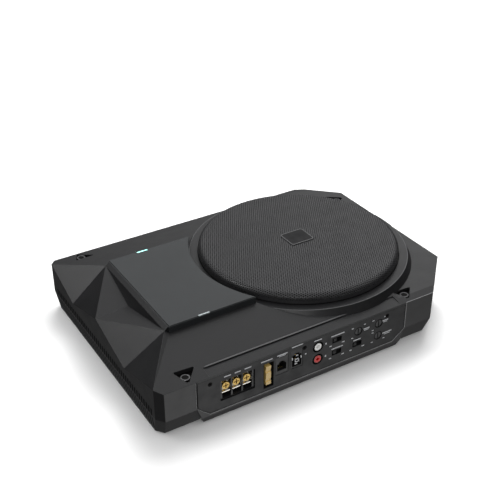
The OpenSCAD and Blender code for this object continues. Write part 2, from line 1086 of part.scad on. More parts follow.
module slider(n) {
    s = SWITCHES[n];
    color([0.12, 0.12, 0.13])
        translate([s[0] - SW_TRAVEL, panel_y + 0.5, s[1]])
            union() {
                translate([-1.7, 0, -1.6])
                    cube([3.4, 7, 3.2]);
                for (k = [-1, 0, 1])
                    translate([k * 1.1 - 0.2, -0.35, -1.6])
                        cube([0.4, 0.36, 3.2]);
            }
}

module slider_upper() {
    slider(0);
}

module slider_lower() {
    slider(1);
}

module slider_right() {
    slider(2);
}

module pot_bodies() {
    color([0.15, 0.15, 0.16])
        for (k = KNOBS)
            translate([k[0], panel_back + 0.1, k[1]])
                difference() {
                    translate([-5.5, 0, -5.5])
                        cube([11, 9, 11]);
                    translate([0, -1, 0])
                        rotate([-90, 0, 0])
                            cylinder(r = 3.05, h = 7.5);
                }
}

module knob(n) {
    color([0.1, 0.1, 0.1])
        translate([KNOBS[n][0], panel_y + 0.4, KNOBS[n][1]])
            rotate([-90, 0, 0])
                difference() {
                    union() {
                        cylinder(r = 3.7, h = 2.4);
                        cylinder(r = 3, h = 9);
                    }
                    translate([-0.5, -3, -1])
                        cube([1, 6, 2.2]);
                }
}

module knob_upper() {
    knob(0);
}

module knob_right() {
    knob(1);
}

module knob_lower() {
    knob(2);
}

// ---------- electronics ----------

board_z = 9;
BOARD_POSTS = [[-150, -88], [-72, -88], [-150, 88], [-72, 88]];
CAPS = [[-80, 70], [-80, 46], [-80, 22], [-80, -2]];

// main board over the base plate and upright board behind the connector panel
module circuit_boards() {
    color(col_board) {
        difference() {
            translate([-157, -95, board_z])
                cube([92, 190, 1.6]);
            for (p = BOARD_POSTS)
                translate([p[0], p[1], board_z - 1])
                    cylinder(r = 1.6, h = 4);
        }
        translate([-56, -104.5, 14])
            cube([128, 1.6, 32]);
    }
}

module capacitors() {
    color([0.1, 0.12, 0.2])
        for (c = CAPS)
            translate([c[0], c[1], board_z + 1.6])
                cylinder(r = 10, h = 30);
}

module toroid_coil() {
    color([0.72, 0.38, 0.2])
        translate([-112, -50, board_z + 1.6 + 7])
            rotate_extrude($fn = 64)
                translate([13, 0])
                    circle(r = 6.5, $fn = 32);
}

module heat_spreader() {
    color(col_steel)
        difference() {
            translate([-164, -84, board_z + 1.7])
                cube([9, 168, 17]);
            for (y = [-66:22:66])
                translate([-160, y, board_z + 12])
                    rotate([0, 90, 0])
                        cylinder(r = 1.3, h = 8);
        }
}

module transistors() {
    color([0.08, 0.08, 0.08])
        for (y = [-66:22:66])
            translate([-154.9, y - 7.5, board_z + 1.7])
                cube([4.6, 15, 16]);
}

top_housing();
lower_frame();
base_plate();
rubber_feet();
base_screws();
corner_screws();
amp_cover();
light_bar_front();
light_bar_rear();
driver_ring();
grille_mesh();
grille_frame();
grille_badge();
woofer_gasket();
woofer_basket();
woofer_screws();
surround();
cone();
dust_cap();
coil_former();
voice_coil();
spider();
magnet_top_plate();
magnet_ring();
magnet_yoke();
woofer_terminal();
connector_panel();
panel_screws();
terminal_block();
terminal_bus_bars();
terminal_screw_1();
terminal_screw_2();
terminal_screw_3();
clamp_plate_1();
clamp_plate_2();
clamp_plate_3();
fuse_holder();
fuse_clips();
fuse_body();
fuse_blades();
remote_jack();
speaker_socket();
socket_contacts();
rca_housing();
rca_barrels();
rca_insert_white();
rca_insert_red();
switch_bodies();
slider_upper();
slider_lower();
slider_right();
pot_bodies();
knob_upper();
knob_right();
knob_lower();
circuit_boards();
capacitors();
toroid_coil();
transistors();
heat_spreader();
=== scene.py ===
import math

import bmesh
import bpy
from mathutils import Matrix, Vector


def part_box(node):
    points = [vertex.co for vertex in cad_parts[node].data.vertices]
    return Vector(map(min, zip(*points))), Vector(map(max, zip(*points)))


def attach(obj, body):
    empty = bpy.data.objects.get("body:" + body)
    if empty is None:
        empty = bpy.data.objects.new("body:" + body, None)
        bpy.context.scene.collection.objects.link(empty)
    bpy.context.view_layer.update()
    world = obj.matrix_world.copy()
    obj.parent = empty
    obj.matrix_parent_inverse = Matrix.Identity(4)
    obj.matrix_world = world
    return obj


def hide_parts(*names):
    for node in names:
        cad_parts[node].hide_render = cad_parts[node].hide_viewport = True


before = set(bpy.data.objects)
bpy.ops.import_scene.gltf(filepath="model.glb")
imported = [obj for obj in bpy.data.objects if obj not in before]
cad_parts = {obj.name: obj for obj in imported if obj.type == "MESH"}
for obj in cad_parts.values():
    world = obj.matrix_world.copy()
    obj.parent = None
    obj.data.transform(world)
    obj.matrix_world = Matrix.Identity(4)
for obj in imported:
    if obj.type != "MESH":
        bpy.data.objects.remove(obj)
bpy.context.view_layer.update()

MM = 0.001

# ---------- mesh helpers ----------


def circle(radius, steps):
    """Points (a, b) of a circle, evenly spaced."""
    return [(radius * math.cos(2 * math.pi * k / steps), radius * math.sin(2 * math.pi * k / steps))
            for k in range(steps)]


def mesh_of(name, verts, faces):
    mesh = bpy.data.meshes.new(name)
    mesh.from_pydata(verts, [], faces)
    mesh.update()
    return mesh


def mesh_from(name, bm):
    mesh = bpy.data.meshes.new(name)
    bm.to_mesh(mesh)
    bm.free()
    return mesh


def join_rings(bm, low, high):
    """Quads between two rings of the same number of vertices."""
    for i in range(len(low)):
        j = (i + 1) % len(low)
        bm.faces.new((low[i], low[j], high[j], high[i]))


# ---------- the frame's own places ----------


def box_mm(node):
    """Lowest and highest corner of a CAD part, in millimetres."""
    low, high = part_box(node)
    return low / MM, high / MM


def middle(node):
    """Middle of a CAD part in millimetres, as (across, up) on the connector panel."""
    low, high = box_mm(node)
    return (low.x + high.x) / 2, (low.z + high.z) / 2


HOUSING_LOW = box_mm("top_housing")[0]
PANEL_LOW, PANEL_HIGH = box_mm("connector_panel")
COVER_LOW, COVER_HIGH = box_mm("amp_cover")
PANEL_Y = PANEL_LOW.y
FRONT_Y = HOUSING_LOW.y
WALL_X = HOUSING_LOW.x

# ---------- camera, light and floor ----------

# camera: where it stands in degrees round and above the object, its tilt, and its distance from
# the point it looks at, in millimetres
AZIMUTH, ELEVATION, ROLL = -29.5, 30.25, 1.2
AIM = Vector((12, 87, 46))
DISTANCE = 1013
SENSOR_MM, LENS_MM = 36.0, 68.5
SHIFT_X, SHIFT_Y = 0.0461, -0.0205

# world brightness by height above the horizon (sine of the elevation)
HORIZON_LOW, HORIZON_HIGH = 0.24, 0.5
DIM, BRIGHT = 0.02, 0.8
# soft glows on the world: direction, cosine where each begins, strength at its middle
GLOWS = [
    ((0.2, -0.74, -0.64), 0.84, 1.45),
    ((0.66, 0.57, 0.5), 0.95, 0.6),
    ((0.5, 0.85, 0.16), 0.92, 0.35),
    ((0, 0, -1), 0.0, 0.16),
]
# area lights: name, place, size in metres, watts, seen in reflections
LAMPS = [
    ("softbox_left", (-1.05, 0.55, 1.2), (0.6, 0.6), 3.5, True),
    ("softbox_front", (-0.95, -1.3, 0.65), (0.8, 0.5), 4, True),
    ("key_rear", (0.6, 0.7, 1.3), (1.2, 1.2), 30, False),
]
LAMP_AIM = (0, 0, 0.03)
# floor's half side and its drop under the feet, backdrop's radius and height, in metres
FLOOR_HALF = 6.0
FLOOR_DROP = 0.0002
BACKDROP_R, BACKDROP_H = 5.9, 5.0


def make_camera():
    a, e = math.radians(AZIMUTH), math.radians(ELEVATION)
    back = Vector((math.sin(a) * math.cos(e), -math.cos(a) * math.cos(e), math.sin(e)))
    level = Vector((math.cos(a), math.sin(a), 0))
    turn = Matrix((level, back.cross(level), back)).transposed().to_4x4()
    turn = turn @ Matrix.Rotation(-math.radians(ROLL), 4, "Z")
    data = bpy.data.cameras.new("camera")
    data.sensor_width = SENSOR_MM
    data.lens = LENS_MM
    data.shift_x = SHIFT_X
    data.shift_y = SHIFT_Y
    camera = bpy.data.objects.new("camera", data)
    camera.matrix_world = Matrix.Translation((AIM + DISTANCE * back) * MM) @ turn
    bpy.context.scene.collection.objects.link(camera)
    bpy.context.scene.camera = camera


def area_light(name, place, size, power, glossy):
    data = bpy.data.lights.new(name, "AREA")
    data.shape = "RECTANGLE"
    data.size, data.size_y = size
    data.energy = power
    lamp = bpy.data.objects.new(name, data)
    lamp.visible_glossy = glossy
    lamp.location = place
    lamp.rotation_euler = (Vector(LAMP_AIM) - Vector(place)).to_track_quat("-Z", "Y").to_euler()
    bpy.context.scene.collection.objects.link(lamp)


def make_backdrop():
    """Pale round wall that only hides the horizon: it throws no light, shadow or reflection."""
    steps = 96
    verts = [(x, y, z) for z in (-0.01, BACKDROP_H) for x, y in circle(BACKDROP_R, steps)]
    faces = [(k, (k + 1) % steps, steps + (k + 1) % steps, steps + k) for k in range(steps)]
    mesh = mesh_of("backdrop", verts, faces)
    wall = bpy.data.objects.new("backdrop", mesh)
    bpy.context.scene.collection.objects.link(wall)
    wall.visible_diffuse = False
    wall.visible_glossy = False
    wall.visible_transmission = False
    wall.visible_shadow = False
    mat = bpy.data.materials.new("backdrop_paper")
    mat.use_nodes = True
    shader = mat.node_tree.nodes["Principled BSDF"]
    shader.inputs["Base Color"].default_value = (0.1, 0.1, 0.1, 1)
    shader.inputs["Specular IOR Level"].default_value = 0.0
    shader.inputs["Emission Color"].default_value = (1, 1, 1, 1)
    shader.inputs["Emission Strength"].default_value = 0.85
    mesh.materials.append(mat)


def make_studio():
    """Bright ceiling that fades to a dim horizon, soft glows, three area lights and the floor."""
    make_world()
    for lamp in LAMPS:
        area_light(*lamp)
    bpy.context.scene.view_settings.view_transform = "Standard"
    make_floor()
    make_backdrop()


def make_world():
    world = bpy.data.worlds.new("studio")
    world.use_nodes = True
    tree = world.node_tree
    back = tree.nodes["Background"]
    coords = tree.nodes.new("ShaderNodeTexCoord")
    split = tree.nodes.new("ShaderNodeSeparateXYZ")
    fade = tree.nodes.new("ShaderNodeMapRange")
    fade.interpolation_type = "SMOOTHSTEP"
    fade.inputs["From Min"].default_value = HORIZON_LOW
    fade.inputs["From Max"].default_value = HORIZON_HIGH
    fade.inputs["To Min"].default_value = DIM
    fade.inputs["To Max"].default_value = BRIGHT
    tree.links.new(coords.outputs["Generated"], split.inputs[0])
    tree.links.new(split.outputs["Z"], fade.inputs["Value"])
    total = fade.outputs["Result"]
    for toward, start, strength in GLOWS:
        dot = tree.nodes.new("ShaderNodeVectorMath")
        dot.operation = "DOT_PRODUCT"
        dot.inputs[1].default_value = Vector(toward).normalized()
        lobe = tree.nodes.new("ShaderNodeMapRange")
        lobe.interpolation_type = "SMOOTHSTEP"
        lobe.inputs["From Min"].default_value = start
        lobe.inputs["To Max"].default_value = strength
        add = tree.nodes.new("ShaderNodeMath")
        tree.links.new(coords.outputs["Generated"], dot.inputs[0])
        tree.links.new(dot.outputs["Value"], lobe.inputs["Value"])
        tree.links.new(total, add.inputs[0])
        tree.links.new(lobe.outputs["Result"], add.inputs[1])
        total = add.outputs[0]
    tree.links.new(total, back.inputs["Strength"])
    back.inputs["Color"].default_value = (1, 1, 1, 1)
    bpy.context.scene.world = world


def make_floor():
    """Pale floor that takes the object's shadow and is left out of its reflections."""
    corners_xy = [(-1, -1), (1, -1), (1, 1), (-1, 1)]
    floor_mesh = mesh_of("floor", [(x * FLOOR_HALF, y * FLOOR_HALF, 0) for x, y in corners_xy],
                         [(0, 1, 2, 3)])
    floor = bpy.data.objects.new("floor", floor_mesh)
    floor.location.z = -FLOOR_DROP
    floor.visible_glossy = False
    floor.visible_diffuse = False
    bpy.context.scene.collection.objects.link(floor)
    mat = bpy.data.materials.new("floor_paper")
    mat.use_nodes = True
    shader = mat.node_tree.nodes["Principled BSDF"]
    shader.inputs["Base Color"].default_value = (0.9, 0.9, 0.9, 1)
    shader.inputs["Roughness"].default_value = 0.9
    shader.inputs["Specular IOR Level"].default_value = 0.1
    floor_mesh.materials.append(mat)


# ---------- materials ----------


class Nodes:
    """Short calls for building a material's node tree."""

    def __init__(self, name):
        self.mat = bpy.data.materials.new(name)
        self.mat.use_nodes = True
        self.tree = self.mat.node_tree
        self.shader = self.tree.nodes["Principled BSDF"]
        self.coords = self.add("ShaderNodeTexCoord").outputs["Object"]

    def add(self, kind, **props):
        node = self.tree.nodes.new(kind)
        for key, value in props.items():
            setattr(node, key, value)
        return node

    def link(self, a, b):
        self.tree.links.new(a, b)

    def noise(self, size_mm, detail=4.0, rough=0.6, stretch=(1, 1, 1)):
        place = self.add("ShaderNodeMapping")
        place.inputs["Scale"].default_value = stretch
        self.link(self.coords, place.inputs["Vector"])
        node = self.add("ShaderNodeTexNoise")
        node.inputs["Scale"].default_value = 1.0 / (size_mm * MM)
        node.inputs["Detail"].default_value = detail
        node.inputs["Roughness"].default_value = rough
        self.link(place.outputs["Vector"], node.inputs["Vector"])
        return node.outputs["Fac"]

    def ramp(self, fac, low, high, start=0.3, end=0.7):
        node = self.add("ShaderNodeMapRange")
        node.inputs["From Min"].default_value = start
        node.inputs["From Max"].default_value = end
        node.inputs["To Min"].default_value = low
        node.inputs["To Max"].default_value = high
        self.link(fac, node.inputs["Value"])
        return node.outputs["Result"]

    def math(self, kind, a, b):
        node = self.add("ShaderNodeMath", operation=kind)
        for socket, value in zip(node.inputs, (a, b)):
            if isinstance(value, (int, float)):
                socket.default_value = value
            else:
                self.link(value, socket)
        return node.outputs[0]

    def mix(self, fac, a, b):
        node = self.add("ShaderNodeMix", data_type="RGBA")
        for index, value in ((0, fac), (6, a), (7, b)):
            if isinstance(value, tuple):
                node.inputs[index].default_value = (*value, 1) if len(value) == 3 else value
            elif isinstance(value, float):
                node.inputs[index].default_value = value
            else:
                self.link(value, node.inputs[index])
        return node.outputs[2]

    def edge(self, radius_mm):
        """Rounded-edge normal and how far it leans from the flat one, 0 on faces and 1 on edges."""
        bevel = self.add("ShaderNodeBevel", samples=6)
        bevel.inputs["Radius"].default_value = radius_mm * MM
        flat = self.add("ShaderNodeNewGeometry").outputs["Normal"]
        dot = self.add("ShaderNodeVectorMath", operation="DOT_PRODUCT")
        self.link(bevel.outputs[0], dot.inputs[0])
        self.link(flat, dot.inputs[1])
        return bevel.outputs[0], self.ramp(dot.outputs["Value"], 1.0, 0.0, 0.8, 0.99)

    def bump(self, height, depth_mm, strength, normal=None):
        node = self.add("ShaderNodeBump")
        node.inputs["Strength"].default_value = strength
        node.inputs["Distance"].default_value = depth_mm * MM
        self.link(height, node.inputs["Height"])
        if normal is not None:
            self.link(normal, node.inputs["Normal"])
        return node.outputs[0]


def finish_of(name, base, rough, grain_mm=0.6, depth_mm=0.05, blotch_mm=25.0, vary=0.15,
              metal=0.0, edge_mm=0.35, edge_color=None, edge_share=0.5, stretch=(1, 1, 1),
              specular=0.5, coat=0.0, coat_rough=0.2, rough_vary=0.08, sheen=0.0):
    """A moulded or painted finish: grain, slow colour change, uneven gloss and rubbed edges."""
    m = Nodes(name)
    dark = tuple(c * (1 - vary) for c in base)
    light = tuple(min(1.0, c * (1 + vary)) for c in base)
    slow = m.ramp(m.noise(blotch_mm, 3.0), 0.0, 1.0)
    grain = m.noise(grain_mm, 6.0, 0.65, stretch)
    fine = m.ramp(grain, 0.0, 1.0, 0.35, 0.65)
    color = m.mix(m.math("MULTIPLY", m.math("ADD", slow, fine), 0.5), dark, light)
    normal, lean = m.edge(edge_mm)
    worn = m.math("MULTIPLY", lean, m.ramp(m.noise(3.0, 5.0), edge_share * 0.4, edge_share))
    rubbed = edge_color or tuple(min(1.0, c * 1.8 + 0.02) for c in base)
    m.link(m.mix(worn, color, rubbed), m.shader.inputs["Base Color"])
    gloss = m.ramp(m.noise(blotch_mm * 0.4, 4.0), rough - rough_vary, rough + rough_vary)
    m.link(gloss, m.shader.inputs["Roughness"])
    m.link(m.bump(grain, depth_mm, 0.6, normal), m.shader.inputs["Normal"])
    m.shader.inputs["Metallic"].default_value = metal
    m.shader.inputs["Specular IOR Level"].default_value = specular
    m.shader.inputs["Coat Weight"].default_value = coat
    m.shader.inputs["Coat Roughness"].default_value = coat_rough
    m.shader.inputs["Sheen Weight"].default_value = sheen
    return m


def lens(name, base, glow, strength):
    m = finish_of(name, base, 0.35, 1.2, 0.02, 6.0, 0.06, edge_mm=0.3)
    m.shader.inputs["Emission Color"].default_value = (*glow, 1)
    m.shader.inputs["Emission Strength"].default_value = strength
    return m


def make_materials():
    mats = {}

    def keep(key, nodes):
        mats[key] = nodes.mat

    keep("shell", finish_of("shell_plastic", (0.009, 0.0091, 0.0098), 0.36, 0.9, 0.06, 40.0, 0.12,
                            specular=0.46, rough_vary=0.04, edge_mm=0.5,
                            edge_color=(0.07, 0.072, 0.075), edge_share=0.7))
    keep("cover", finish_of("cover_paint", (0.018, 0.020, 0.0213), 0.36, 0.5, 0.03, 60.0, 0.08,
                            specular=0.45, rough_vary=0.03, edge_mm=0.5,
                            edge_color=(0.05, 0.052, 0.054)))
    keep("base", finish_of("base_coat", (0.02, 0.02, 0.021), 0.5, 1.5, 0.05, 60.0, 0.07,
                           rough_vary=0.03))
    keep("rubber", finish_of("black_rubber", (0.012, 0.012, 0.012), 0.75, 0.8, 0.05, sheen=0.1))
    keep("steel", finish_of("turned_steel", (0.16, 0.16, 0.165), 0.35, 0.8, 0.02, 4.0, 0.12, metal=1.0,
                            stretch=(1, 1, 6)))
    keep("black_screw", finish_of("black_zinc", (0.05, 0.05, 0.052), 0.35, 0.7, 0.02, 5.0, 0.2,
                                  metal=0.6, edge_color=(0.3, 0.3, 0.3)))
    keep("grille", finish_of("grille_paint", (0.03, 0.03, 0.0315), 0.36, 0.6, 0.02, 30.0, 0.12,
                             metal=0.2, edge_mm=0.1, edge_share=0.2))
    keep("grille_ring", finish_of("ring_black", (0.008, 0.008, 0.008), 0.6, 0.8, 0.03))
    keep("badge_rim", finish_of("badge_metal", (0.09, 0.09, 0.093), 0.3, 0.6, 0.01, 8.0, 0.06,
                                metal=0.5, edge_color=(0.12, 0.12, 0.122)))
    keep("badge_face", finish_of("badge_enamel", (0.008, 0.008, 0.0085), 0.45, 0.8, 0.01,
                                 specular=0.15))
    keep("basket", finish_of("basket_coat", (0.015, 0.015, 0.015), 0.5, 0.8, 0.04))
    keep("cone", finish_of("cone_pulp", (0.014, 0.014, 0.014), 0.8, 1.6, 0.15, 12.0, 0.25, sheen=0.2))
    keep("former", finish_of("former_paper", (0.42, 0.3, 0.16), 0.7, 0.8, 0.04))
    keep("copper", finish_of("copper_wire", (0.72, 0.32, 0.16), 0.28, 0.7, 0.12, 6.0, 0.15, metal=1.0,
                             stretch=(0.1, 0.1, 4)))
    keep("spider", finish_of("spider_cloth", (0.45, 0.3, 0.1), 0.85, 0.9, 0.2, sheen=0.3))
    keep("plated", finish_of("zinc_plate", (0.5, 0.5, 0.52), 0.32, 0.8, 0.03, 9.0, 0.12, metal=1.0))
    keep("ferrite", finish_of("ferrite_grey", (0.05, 0.05, 0.055), 0.55, 1.0, 0.06, 12.0, 0.2))
    keep("brass", finish_of("brass_bright", (0.72, 0.5, 0.17), 0.25, 0.8, 0.02, 5.0, 0.15, metal=1.0))
    keep("brass_screw", finish_of("brass_screw", (0.40, 0.27, 0.085), 0.25, 0.7, 0.02, 3.0, 0.15,
                                  metal=1.0, edge_color=(0.85, 0.65, 0.3), edge_mm=0.25))
    keep("nickel", finish_of("nickel_plate", (0.72, 0.69, 0.62), 0.2, 0.7, 0.015, 4.0, 0.1,
                             metal=1.0, edge_color=(0.9, 0.88, 0.84)))
    keep("panel", finish_of("panel_paint", (0.007, 0.0072, 0.008), 0.42, 0.6, 0.03, 30.0, 0.08,
                            specular=0.36, edge_mm=0.3, edge_color=(0.08, 0.08, 0.084)))
    keep("black", finish_of("black_moulding", (0.009, 0.009, 0.010), 0.4, 0.8, 0.03, edge_mm=0.25,
                            edge_color=(0.06, 0.06, 0.062)))
    keep("fuse", finish_of("fuse_tan", (0.68, 0.47, 0.15), 0.25, 1.2, 0.02, 5.0, 0.12, coat=0.3,
                           edge_color=(0.85, 0.62, 0.3)))
    keep("white", finish_of("insert_white", (0.95, 0.95, 0.93), 0.3, 1.0, 0.02, 5.0, 0.05))
    keep("red", finish_of("insert_red", (0.60, 0.015, 0.012), 0.3, 1.0, 0.02, 5.0, 0.1,
                          edge_color=(0.75, 0.06, 0.05)))
    keep("control", finish_of("control_plastic", (0.010, 0.010, 0.011), 0.35, 0.6, 0.02, 6.0, 0.15,
                              edge_mm=0.25, edge_color=(0.08, 0.08, 0.085)))
    keep("board", finish_of("solder_mask", (0.02, 0.14, 0.06), 0.35, 2.0, 0.03, 12.0, 0.2, coat=0.4))
    keep("sleeve", finish_of("capacitor_sleeve", (0.02, 0.025, 0.06), 0.35, 1.2, 0.03))
    keep("epoxy", finish_of("transistor_epoxy", (0.015, 0.015, 0.015), 0.55, 0.7, 0.04))
    keep("milled", finish_of("milled_aluminium", (0.6, 0.6, 0.62), 0.35, 0.9, 0.03, 10.0, 0.1,
                             metal=1.0, stretch=(1, 8, 1)))
    keep("print", finish_of("print_grey", (0.6, 0.61, 0.63), 0.55, 0.5, 0.01, 6.0, 0.1, edge_mm=0.05))
    # near-black used as painted shade: pockets, screw sockets, slots, dial wells, the bay's seam and
    # the panel screws' holes
    keep("painted_shade", finish_of("painted_shade_black", (0.004, 0.004, 0.004), 0.7, 0.8, 0.05, specular=0.1))
    # light greys painted on the beads and edge strips as highlights where those edges catch the light
    keep("lip", finish_of("painted_highlight_grey", (0.2, 0.201, 0.205), 0.3, 0.6, 0.02, 15.0, 0.25))
    keep("soft_highlight", finish_of("painted_soft_highlight_grey", (0.06, 0.061, 0.063), 0.4, 0.6, 0.02, 15.0, 0.25))
    keep("barrel", finish_of("dark_nickel", (0.1, 0.098, 0.092), 0.3, 0.7, 0.015, 4.0, 0.1,
                             metal=1.0))
    keep("mark", finish_of("print_white", (0.62, 0.63, 0.64), 0.55, 0.5, 0.01, 6.0, 0.06,
                           edge_mm=0.05))
    keep("lens_plain", lens("lens_plain", (0.3, 0.33, 0.34), (0.7, 0.9, 0.92), 0.02))
    keep("lens_lit", lens("lens_lit", (0.45, 0.9, 0.85), (0.25, 0.95, 0.80), 1.2))
    return mats


LOOK = {
    "top_housing": "shell", "lower_frame": "shell", "driver_ring": "shell",
    "amp_cover": "cover", "base_plate": "base", "rubber_feet": "rubber",
    "woofer_gasket": "rubber", "surround": "rubber", "corner_screws": "steel",
    # the panel screws are painted near-black as shade in their holes
    "base_screws": "black_screw", "woofer_screws": "black_screw", "panel_screws": "painted_shade",
    "light_bar_front": "lens_plain", "light_bar_rear": "lens_lit",
    "grille_mesh": "grille", "grille_frame": "grille_ring", "grille_badge": "badge_rim",
    "woofer_basket": "basket", "cone": "cone", "dust_cap": "cone", "coil_former": "former",
    "voice_coil": "copper", "toroid_coil": "copper", "spider": "spider",
    "magnet_top_plate": "plated", "magnet_yoke": "plated", "fuse_clips": "plated",
    "magnet_ring": "ferrite", "woofer_terminal": "brass", "terminal_bus_bars": "brass",
    "socket_contacts": "brass", "rca_barrels": "barrel", "fuse_blades": "nickel",
    "terminal_screw_1": "brass_screw", "terminal_screw_2": "brass_screw",
    "terminal_screw_3": "brass_screw",
    "clamp_plate_1": "nickel", "clamp_plate_2": "nickel", "clamp_plate_3": "nickel",
    "connector_panel": "panel", "terminal_block": "black", "fuse_holder": "black",
    "remote_jack": "black", "speaker_socket": "black", "rca_housing": "black",
    "switch_bodies": "black", "pot_bodies": "black", "fuse_body": "fuse",
    "rca_insert_white": "white", "rca_insert_red": "red",
    "slider_upper": "control", "slider_lower": "control", "slider_right": "control",
    "knob_upper": "control", "knob_right": "control", "knob_lower": "control",
    "circuit_boards": "board", "capacitors": "sleeve", "transistors": "epoxy",
    "heat_spreader": "milled",
}


def dress_nodes(mats):
    for name, key in LOOK.items():
        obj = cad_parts[name]
        if not obj.material_slots:
            obj.data.materials.append(None)
        for slot in obj.material_slots:
            slot.material = mats[key]


# ---------- pieces ----------


def piece(name, mesh, mat, body="chassis", replaces=()):
    obj = bpy.data.objects.new(name, mesh)
    bpy.context.scene.collection.objects.link(obj)
    mesh.materials.append(mat)
    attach(obj, body)
    if replaces:
        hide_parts(*replaces)
    return obj


# woofer's axis, and the pressed sheet: flat radius, rolled edge, upper face and lowest edge
AXIS_X = middle("cone")[0]
FLAT_R = 97.4
ROLL_R = 5.0
MESH_TOP = box_mm("grille_mesh")[1].z
MESH_FOOT = 60.6
# sheet thickness, and the pitch and radius of its holes
SHEET_T = 0.8
PITCH = 2.4
HOLE_R = 0.78


def dome_point(u, v, sink=0.0):
    """A point of the flat blank (millimetres from its centre) pressed into the grille's shape."""
    s = math.hypot(u, v)
    turn = (u / s, v / s) if s > 1e-9 else (1.0, 0.0)
    if s <= FLAT_R:
        r, z = s, MESH_TOP
        nr, nz = 0.0, 1.0
    else:
        over = s - FLAT_R
        angle = min(over / ROLL_R, math.pi / 2)
        nr, nz = math.sin(angle), math.cos(angle)
        r = FLAT_R + ROLL_R * nr
        z = MESH_TOP - ROLL_R + ROLL_R * nz - max(0.0, over - ROLL_R * math.pi / 2)
    r -= sink * nr
    z -= sink * nz
    return ((AXIS_X + r * turn[0]) * MM, r * turn[1] * MM, z * MM)


def make_grille(mats):
    """Perforated steel sheet: a hexagonal lattice of real holes with walls as deep as the sheet."""
    reach = FLAT_R + ROLL_R * math.pi / 2 + (MESH_TOP - ROLL_R - MESH_FOOT)
    verts, faces, known = [], [], {}

    def vertex(u, v, sink=0.0):
        key = (round(u * 50), round(v * 50), sink)
        if key not in known:
            known[key] = len(verts)
            verts.append(dome_point(u, v, sink))
        return known[key]

    cell_r = PITCH / math.sqrt(3)
    turns = [math.radians(60 * k + 30) for k in range(6)]
    corner = [(cell_r * math.cos(a), cell_r * math.sin(a)) for a in turns]
    hole = [(HOLE_R * math.cos(a), HOLE_R * math.sin(a)) for a in turns]
    rows = int(reach / (PITCH * 0.866)) + 2
    for row in range(-rows, rows + 1):
        cv = row * PITCH * math.sqrt(3) / 2
        shift = 0.5 * PITCH if row % 2 else 0.0
        for col in range(-rows - 6, rows + 7):
            cu = col * PITCH + shift
            if math.hypot(cu, cv) > reach - cell_r:
                continue
            outer = [vertex(cu + a, cv + b) for a, b in corner]
            inner = [vertex(cu + a, cv + b) for a, b in hole]
            deep = [vertex(cu + a, cv + b, SHEET_T) for a, b in hole]
            for k in range(6):
                n = (k + 1) % 6
                faces.append((outer[k], outer[n], inner[n], inner[k]))
                faces.append((inner[k], inner[n], deep[n], deep[k]))
    piece("perforated_sheet", mesh_of("perforated_sheet", verts, faces), mats["grille"],
          replaces=("grille_mesh",))
    make_sheet_rim(mats, reach)


def make_sheet_rim(mats, reach):
    """Plain rim of the sheet below the last row of holes."""
    profile = [(reach - 3.0, 0.05), (reach - 1.5, 0.0), (reach, 0.0), (reach, SHEET_T),
               (reach - 3.0, SHEET_T)]
    steps = 144
    verts = [dome_point(s * math.cos(2 * math.pi * i / steps), s * math.sin(2 * math.pi * i / steps), d)
             for i in range(steps) for s, d in profile]
    count = len(profile)
    faces = []
    for i in range(steps):
        here, there = i * count, ((i + 1) % steps) * count
        faces += [(here + k, there + k, there + k + 1, here + k + 1) for k in range(count - 1)]
    piece("sheet_rim", mesh_of("sheet_rim", verts, faces), mats["grille"])


def rounded_plate(name, x0, x1, y0, y1, z0, z1, corner_r, edge_r, steps=6):
    """Plate with round plan corners and a rolled upper edge, millimetres in and metres out."""
    bm = bmesh.new()
    rings = []
    for level in range(-1, steps + 1):
        if level < 0:
            inset, z = 0.0, z0
        else:
            a = math.pi / 2 * level / steps
            inset, z = edge_r * (1 - math.cos(a)), z1 - edge_r + edge_r * math.sin(a)
        ring = []
        for cx, cy, start in ((x1, y1, 0), (x0, y1, 90), (x0, y0, 180), (x1, y0, 270)):
            sx, sy = (1 if cx == x1 else -1), (1 if cy == y1 else -1)
            for k in range(steps + 1):
                a = math.radians(start + 90 * k / steps)
                r = max(0.05, corner_r - inset)
                ring.append(bm.verts.new((
                    (cx - sx * corner_r + r * math.cos(a)) * MM,
                    (cy - sy * corner_r + r * math.sin(a)) * MM, z * MM)))
        rings.append(ring)
    for low, high in zip(rings, rings[1:]):
        join_rings(bm, low, high)
    bm.faces.new(rings[-1])
    bm.faces.new(list(reversed(rings[0])))
    return mesh_from(name, bm)


def make_badge(mats):
    """Blank badge: a metal rim on the grille and an enamel face inside it."""
    low, high = box_mm("grille_badge")
    border = 1.1
    rim = rounded_plate("badge_rim", low.x, high.x, low.y, high.y, low.z, high.z - 0.1, 2.6, 0.5)
    piece("badge_rim", rim, mats["badge_rim"], replaces=("grille_badge",))
    face = rounded_plate("badge_face", low.x + border, high.x - border, low.y + border,
                         high.y - border, high.z - 0.6, high.z, 2.0, 0.25)
    piece("badge_face", face, mats["badge_face"])


# dashes where the panel has titles: the part each belongs to, how far across and up from that
# part's middle, length, height
TITLES = [
    ("terminal_screw_1", 0.4, 12.3, 7, 1.1), ("terminal_screw_2", 0, 12.4, 6, 1.1),
    ("terminal_screw_3", -0.2, 12.5, 7, 1.1), ("fuse_body", -2, 17.4, 12, 1.1),
    ("remote_jack", 0.2, 12, 11, 1.1), ("remote_jack", 0.2, 10.6, 7, 0.6),
    ("speaker_socket", 0.2, 14.2, 12, 1), ("rca_insert_white", -0.4, 7.8, 8.5, 1.1),
    ("rca_insert_white", 8.8, 0.4, 1.4, 2), ("rca_insert_red", 8.8, 0.1, 1.4, 2),
    ("slider_upper", 2.5, 5.5, 15, 1.1), ("slider_lower", 2.5, 4.8, 13, 1),
    ("slider_right", 1.7, 4.8, 8.4, 1),
    ("knob_upper", 9.4, 0.2, 7, 1), ("knob_upper", 9.4, -1.4, 5, 0.7),
    ("knob_right", 7.5, 1.2, 6.5, 1), ("knob_right", 7.5, -0.4, 4.5, 0.7),
    ("knob_lower", 10.7, 0.5, 11, 1), ("knob_lower", 10.7, -1.2, 7, 0.7),
]
